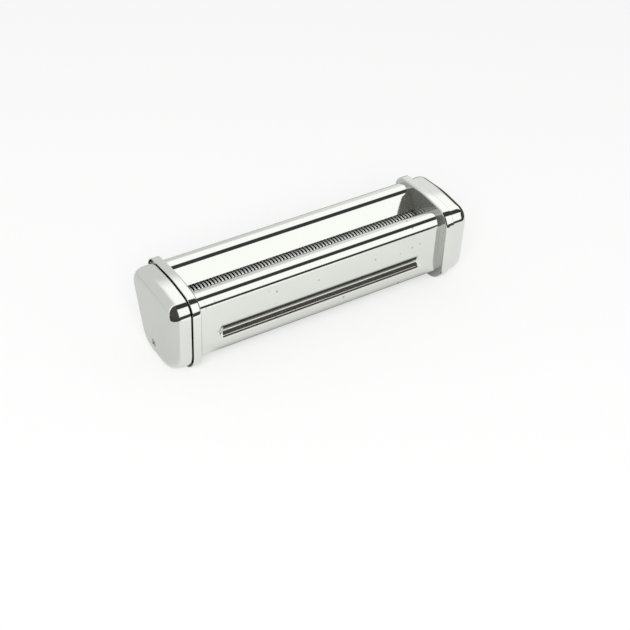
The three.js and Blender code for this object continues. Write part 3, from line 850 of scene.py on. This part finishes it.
for side in sides:
    buildCapScrew(side, capScrew)
print("ends made")


rollerGroove = dict(
    pitch=2.0,
    land=0.95,  # flat left between two grooves
    depth=0.8,
    fullness=0.8,  # power of the sine that the groove's bottom follows
    bevel=0.15,  # of the drum's two ends
    endGap=1.0,  # least gap between the drum and a side frame
    steps=9, facets=72,
)


# One pitch of the drum as (x, radius): half a land, a round-bottomed groove, half a land.
def groovedProfile(count, spec):
    turn = np.linspace(0, np.pi, spec["steps"])
    halfWidth = (spec["pitch"] - spec["land"]) / 2
    x = spec["pitch"] / 2 - halfWidth * np.cos(turn)
    radius = drumRadius - spec["depth"] * np.sin(turn) ** spec["fullness"]
    starts = (np.arange(count) - count / 2)[:, None] * spec["pitch"]
    return np.c_[(starts + x).ravel(), np.tile(radius, count)]


shaft = dict(
    radius=3.4,
    ringBed=1.1,  # width of a ring's groove
    ringCore=2.7,
    flat=2.4,  # height of the flat over the axis
    flatStep=0.02,  # length over which it starts
    bevel=0.4,
)
leftBed = plateOuter + place["bushFlange"] + place["gap"] / 2  # |x| where the left ring's groove starts
gearStart, gearEnd = spanOf("drive_gear")


# The groove of a retaining ring in the shaft's profile.
def ringBed(x):
    surface, core, end = shaft["radius"], shaft["ringCore"], x + shaft["ringBed"]
    return [[x, surface], [x, core], [end, core], [end, surface]]


# A grooved drum on its shaft, turned from (x, radius); past the gear's start the shaft has a flat on top.
def buildRoller(node, axis, ringed):
    leftTip, tip = spanOf(node)
    s, bevel, edge = shaft["radius"], shaft["bevel"], rollerGroove["bevel"]
    count = int(round(2 * (bodyHalf - rollerGroove["endGap"]) / rollerGroove["pitch"]))
    end = count * rollerGroove["pitch"] / 2
    profile = np.vstack([
        [[leftTip, 0], [leftTip, s - bevel], [leftTip + bevel, s]],
        ringBed(-leftBed - shaft["ringBed"]),
        [[-end, s], [-end, drumRadius - edge], [-end + edge, drumRadius]],
        groovedProfile(count, rollerGroove),
        [[end - edge, drumRadius], [end, drumRadius - edge], [end, s]],
        [[gearStart - shaft["flatStep"], s], [gearStart, s]],
        ringBed(gearEnd + place["gap"] / 2) if ringed else [[gearEnd, s]],
        [[tip - bevel, s], [tip, s - bevel], [tip, 0]],
    ])
    points, faces = turnedPart(profile, (0, 0), rollerGroove["facets"])
    flatted = points[:, 0] > gearStart - shaft["flatStep"] / 2
    points[flatted, 2] = np.minimum(points[flatted, 2], shaft["flat"])
    points[:, 1:] += axis
    body = "driven" if ringed else "drive"
    finish = drivenSteel if ringed else driveSteel
    makePiece(node, [(points, faces)], finish, body, sharp=40)


buildRoller("drive_roller", driveAxis, False)
buildRoller("driven_roller", drivenAxis, True)
print("rollers made")


bush = dict(bore=3.7, outside=5.2, flangeRadius=6.3, bevel=0.3)


# A flanged sleeve, turned from (x, radius).
def buildBush(node, axis, side, spec):
    a, b, c = bodyHalf, plateOuter, plateOuter + place["bushFlange"]
    e, bore, outside, flange = spec["bevel"], spec["bore"], spec["outside"], spec["flangeRadius"]
    profile = [
        [a, bore + e], [a, outside - e], [a + e, outside], [b, outside], [b, flange], [c - e, flange],
        [c, flange - e], [c, bore + e], [c - e, bore], [a + e, bore], [a, bore + e],
    ]
    makePiece(node, [turnedPart(profile, axis)], bushBrass, side=side)


for side in sides:
    buildBush(f"drive_bush_{side}", driveAxis, side, bush)
    buildBush(f"driven_bush_{side}", drivenAxis, side, bush)

retainingRing = dict(
    radius=4.6, core=3.0, steps=61,
    opening=60.0,  # degrees
    thinning=0.25,  # the outer radius is less by twice this at the opening
)


# An open ring in its groove; its section is a band between two arcs, thick at the back.
def buildRing(node, axis, body, spec):
    start, end = spanOf(node)
    half = spec["opening"] / 2
    turn = np.radians(np.linspace(half, 360 - half, spec["steps"]))
    outside = polar(axis, spec["radius"] - spec["thinning"] * (1 + np.cos(turn)), turn)
    inside = polar(axis, spec["core"], turn)
    section = np.vstack([outside, inside[::-1]])
    parts = [wallPart(section, start, section, end), facePart(section, start), facePart(section, end)]
    makePiece(node, parts, zincPlate, body)


buildRing("drive_ring_left", driveAxis, "drive", retainingRing)
for side in sides:
    buildRing(f"driven_ring_{side}", drivenAxis, "driven", retainingRing)

tieRod = dict(
    radius=2.0, threaded=4.4, threadDepth=0.3, facets=24,
    thread=0.7,  # pitch
    threadStart=0.5,  # length over which the thread grows to its depth
    perTurn=8,  # stations along one pitch
    plainSteps=9,  # stations along the plain middle
    plainEnd=4.0,  # these start this far from the threads
    point=(0.4, 0.3),  # length over which the tip narrows, and by how much
)


# The rod's radius is a function of x and turn: plain in the middle, a helical ridge near both ends.
def buildTieRod(node, centre, spec):
    tip = spanOf(node)[1]
    start = tip - spec["threaded"]
    fine = np.linspace(start, tip, int(spec["threaded"] / spec["thread"] * spec["perTurn"]))
    middle = start - spec["plainEnd"]
    x = np.concatenate([-fine[::-1], np.linspace(-middle, middle, spec["plainSteps"]), fine])[:, None]
    turn = wholeTurn(spec["facets"])
    wave = np.abs(((x / spec["thread"] - turn / (2 * np.pi)) % 1) * 2 - 1)
    cut = np.clip((np.abs(x) - start) / spec["threadStart"], 0, 1)
    point = np.clip((tip - np.abs(x)) / spec["point"][0], 0, 1)
    radius = spec["radius"] - cut * spec["threadDepth"] * wave - spec["point"][1] * (1 - point)
    tube = ringsAt(x, centre, radius, turn)
    parts = [gridPart(tube), facePart(tube[0][:, 1:], -tip), facePart(tube[-1][:, 1:], tip)]
    makePiece(node, parts, zincPlate)


rodNut = dict(flats=7.0, height=3.0, bore=2.3, chamfer=0.45, boreChamfer=0.3, cone=1.16, facets=72)


# A hexagon whose outer corners are eased by a cone: each ring is the smaller of hexagon and cone.
def buildNut(node, centre, side, spec):
    count, ease = spec["facets"], spec["boreChamfer"]
    turn = wholeTurn(count)
    flat = spec["flats"] / 2
    hexagon = flat / np.cos((turn + np.pi / 6) % (np.pi / 3) - np.pi / 6)
    start, end = plateOuter, plateOuter + spec["height"]
    stations = [start, start, start + spec["chamfer"], end - spec["chamfer"], end, end]
    limits = [spec["bore"] + ease, flat, flat * spec["cone"], flat * spec["cone"], flat, spec["bore"] + ease]
    rings = [loopAt(x, polar(centre, np.minimum(hexagon, limit), turn)) for x, limit in zip(stations, limits)]
    bore = circle(centre, spec["bore"], count)
    rings += [loopAt(end - ease, bore), loopAt(start + ease, bore)]
    part = gridPart(np.stack(rings), closeRows=True)
    makePiece(node, [part], zincPlate, side=side, sharp=25)


for rod, centre in rodAt.items():
    buildTieRod(f"{rod}_tie_rod", centre, tieRod)
    for side in sides:
        buildNut(f"{rod}_nut_{side}", centre, side, rodNut)

crankCoupling = dict(
    radius=5.6, bore=3.7, socket=6.2, socketRound=0.5, mouth=0.35, bevel=0.4, facets=40,
    grip=1.6,  # length that sits on the shaft
)


# A square with round corners: each point is a corner's centre plus the corner's radius at its turn.
def squareLoop(centre, size, corner, count):
    turn = wholeTurn(count) + np.pi / count
    c, s = np.cos(turn), np.sin(turn)
    reach = size / 2 - corner
    return np.c_[centre[0] + np.sign(c) * reach + corner * c, centre[1] + np.sign(s) * reach + corner * s]


# A round sleeve with a square socket for the crank, sunk from its outer end.
def buildCoupling(spec):
    start, end = spanOf("crank_coupling")
    floor, count = start + spec["grip"], spec["facets"]
    outside = circle(driveAxis, spec["radius"], count)
    eased = circle(driveAxis, spec["radius"] - spec["bevel"], count)
    socket = squareLoop(driveAxis, spec["socket"], spec["socketRound"], count)
    mouth = squareLoop(driveAxis, spec["socket"] + 2 * spec["mouth"], spec["socketRound"], count)
    bore = circle(driveAxis, spec["bore"], count)
    parts = [
        facePart(eased, start, [bore]),
        wallPart(eased, start, outside, start + spec["bevel"]),
        wallPart(outside, start + spec["bevel"], outside, end - spec["bevel"]),
        wallPart(outside, end - spec["bevel"], eased, end),
        facePart(eased, end, [mouth]),
        wallPart(mouth, end, socket, end - spec["mouth"]),
        wallPart(socket, end - spec["mouth"], socket, floor),
        facePart(socket, floor, [bore]),
        wallPart(bore, floor, bore, start),
    ]
    makePiece("crank_coupling", parts, zincPlate, "drive")


buildCoupling(crankCoupling)

# Flat stampings and the gears keep their construction meshes and take a finish.
kept = dict(front_comb=combSteel, rear_comb=combSteel, drive_gear=zincPlate, driven_gear=zincPlate)
for node, finish in kept.items():
    mesh = frame["nodes"][node].data
    mesh.materials.clear()
    mesh.materials.append(finish)
print("small parts made")


# White for the camera; for glossy rays the floor carries painted shade and light, so the chrome sees it
# darker close in front of the body and under it.
floorAndShade = dict(
    half=4.0,  # metres
    color=(0.95, 0.95, 0.945),
    lifted=0.6,  # towards white for the camera
    # painted shade and light levels, each (y in mm, level)
    shade=[(-150, 1.2), (-115, 1.2), (-75, 1.04), (-34, 1.04), (-30.2, 0.95), (-28.1, 0.72), (-27.3, 0.68),
           (-26.0, 0.05), (-23.6, 0.05), (-22.4, 0.6), (14, 0.6), (30, 1.0), (60, 1.0)],
    shadeEnd=(74.0, 82.0),  # x where the shade starts to end and has ended
    shadeLeft=-1.276,  # on the left it ends this many times sooner
    leftFrom=(-85.0, -95.0),  # x past which it is a little darker
    leftLevel=0.78,
    edge=(158.0, 168.0),  # distance in front and round the left end where its light part ends
    edgeSide=(-15.0, -30.0),  # y from which that holds
    edgeRight=(66.0, 62.0),  # x where it has ended and starts to end, on the line y = 0
    edgeSlant=0.608,  # further out that x grows by this for each millimetre
    rightEdge=(212.0, 222.0),  # x where the light part ends
    edgeLevel=0.05,
)


# The floor's painted shade, seen only by glossy rays, is a run of levels by y that gives way aside, to the
# left and past the far edges.
def buildFloor(spec):
    half = spec["half"]
    mesh = bpy.data.meshes.new("floor")
    corners = [(-half, -half, 0), (half, -half, 0), (half, half, 0), (-half, half, 0)]
    mesh.from_pydata(corners, [], [(0, 1, 2, 3)])
    material = bpy.data.materials.new("paleFloor")
    tree = nodeTree(material)
    path = addNode(tree, "LightPath")
    split = addNode(tree, "SeparateXYZ", {"Vector": pointOf(tree)})
    x, y = split.outputs["X"], split.outputs["Y"]

    def passed(value, span):  # in millimetres
        return ramped(value, span[0] * mm, span[1] * mm)

    tone = greyRamp(spec["shade"], passed(y, (spec["shade"][0][0], spec["shade"][-1][0])))
    aside = greater(x, product(x, spec["shadeLeft"]))
    tone = mixed(passed(aside, spec["shadeEnd"]), tone, 1.0)
    tone = mixed(passed(x, spec["leftFrom"]), tone, spec["leftLevel"])
    ahead = {"X": computed("MINIMUM", x, 0.0), "Y": computed("MINIMUM", y, 0.0)}
    ahead = addNode(tree, "CombineXYZ", ahead).outputs["Vector"]
    away = addNode(tree, "VectorMath", {0: ahead}, operation="LENGTH").outputs["Value"]
    past = product(passed(away, spec["edge"]), passed(y, spec["edgeSide"]))
    slanted = computed("MULTIPLY_ADD", y, spec["edgeSlant"], x)
    past = product(past, passed(slanted, spec["edgeRight"]))
    past = greater(past, passed(x, spec["rightEdge"]))
    tone = mixed(past, tone, spec["edgeLevel"])
    tone = mixed(path.outputs["Is Glossy Ray"], 1.0, tone)
    tone = mixed(1.0, tone, spec["color"], "MULTIPLY")
    matt = addNode(tree, "BsdfDiffuse", {"Color": tone})
    white = addNode(tree, "Emission")
    lifted = product(path.outputs["Is Camera Ray"], spec["lifted"])
    surface = addNode(tree, "MixShader", {0: lifted, 1: matt.outputs[0], 2: white.outputs[0]})
    addNode(tree, "OutputMaterial", {"Surface": surface.outputs[0]})
    mesh.materials.append(material)
    floor = addObject("floor", mesh)
    floor.location.z = min(0.0, cadLow[2])


# Light panels seen only in reflections. Their level goes by the angle about the X axis, in degrees from
# the front over the top to the rear. It is dark along the front horizon, front left and far right.
studio = dict(
    plain=0.6,  # the light that matt surfaces get from all round
    panels=[(-180, 0.74), (0, 1.25), (54.5, 1.25), (56.5, 0.045), (85.5, 0.045), (87.5, 1.25), (130, 1.25),
            (144, 0.74), (180, 0.74)],
    dark=(0.075, 0.07, 0.06),
    # spans of x, y or z of the direction, from where each thing starts to where it is full
    front=(0.04, 0.12),  # -y
    left=(0.08, -0.08),  # x
    horizon=(0.095, 0.075),  # z
    right=(0.66, 0.76),  # x, dark all round
    rightHorizon=(0.46, 0.42),  # z
    rear=(0.0, 0.15),  # y
    rearLeft=(0.3, -0.1),  # x, where it is grey
    grey=0.74,
    rearRight=(0.4, 0.5),  # x, where it is lighter
    lighter=0.92,
)


def buildSurroundings(spec):
    world = bpy.data.worlds.new("studio")
    bpy.context.scene.world = world
    tree = nodeTree(world)
    split = addNode(tree, "SeparateXYZ", {"Vector": pointOf(tree, "Generated")})
    x, y, z = [split.outputs[axis] for axis in "XYZ"]
    peak = max(level for _, level in spec["panels"])

    front = product(y, -1.0)
    around = ramped(computed("ARCTAN2", z, front), -math.pi, math.pi)
    color = greyRamp([(at, level / peak) for at, level in spec["panels"]], around)
    behind = ramped(y, *spec["rear"])
    color = mixed(product(behind, ramped(x, *spec["rearLeft"])), color, spec["grey"] / peak)
    lighter = product(behind, ramped(x, *spec["rearRight"]))
    color = mixed(lighter, color, spec["lighter"] / peak, "LIGHTEN")
    inFront = greater(ramped(x, *spec["left"]), ramped(z, *spec["horizon"]))
    inFront = product(ramped(front, *spec["front"]), inFront)
    onRight = product(ramped(x, *spec["right"]), ramped(z, *spec["rightHorizon"]))
    color = mixed(greater(inFront, onRight), color, scaled(spec["dark"], 1 / peak))

    path = addNode(tree, "LightPath")
    clear = (1, 1, 1, 1)
    plain, panels, white = [
        addNode(tree, "Background", {"Color": light, "Strength": strength}).outputs[0]
        for light, strength in ((clear, spec["plain"]), (color, peak), (clear, 1.0))
    ]
    seen = addNode(tree, "MixShader", {0: path.outputs["Is Glossy Ray"], 1: plain, 2: panels}).outputs[0]
    seen = addNode(tree, "MixShader", {0: path.outputs["Is Camera Ray"], 1: seen, 2: white}).outputs[0]
    addNode(tree, "OutputWorld", {"Surface": seen})


def aimOf(spec):
    return (Vector(spec["lookAt"]) - Vector(spec["location"])).to_track_quat("-Z", "Y")


softKey = dict(location=(-0.84, -1.28, 1.24), lookAt=(0, 0, 0.02), size=(1.2, 0.9), power=27.0)


def buildKeyLight(spec):
    light = bpy.data.lights.new("softKey", "AREA")
    light.shape = "RECTANGLE"
    light.size, light.size_y = spec["size"]
    light.energy = spec["power"]
    key = addObject("softKey", light)
    key.location = spec["location"]
    key.rotation_euler = aimOf(spec).to_euler()
    key.visible_glossy = False


view = dict(
    location=(-0.31635, -0.47907, 0.4537),  # metres
    lookAt=(-0.01782, -0.03849, 0.026),
    roll=2.883,  # degrees
    lens=76.63, sensor=36, clip=(0.01, 20),
)


def buildCamera(spec):
    lens = bpy.data.cameras.new("camera")
    lens.lens = spec["lens"]
    lens.sensor_width = spec["sensor"]
    lens.clip_start, lens.clip_end = spec["clip"]
    camera = addObject("camera", lens)
    camera.location = spec["location"]
    camera.rotation_mode = "QUATERNION"
    camera.rotation_quaternion = aimOf(spec) @ Quaternion((0, 0, 1), math.radians(spec["roll"]))
    bpy.context.scene.camera = camera


buildFloor(floorAndShade)
buildSurroundings(studio)
buildKeyLight(softKey)
buildCamera(view)
bpy.context.scene.view_settings.view_transform = "Standard"

print("scene ready")
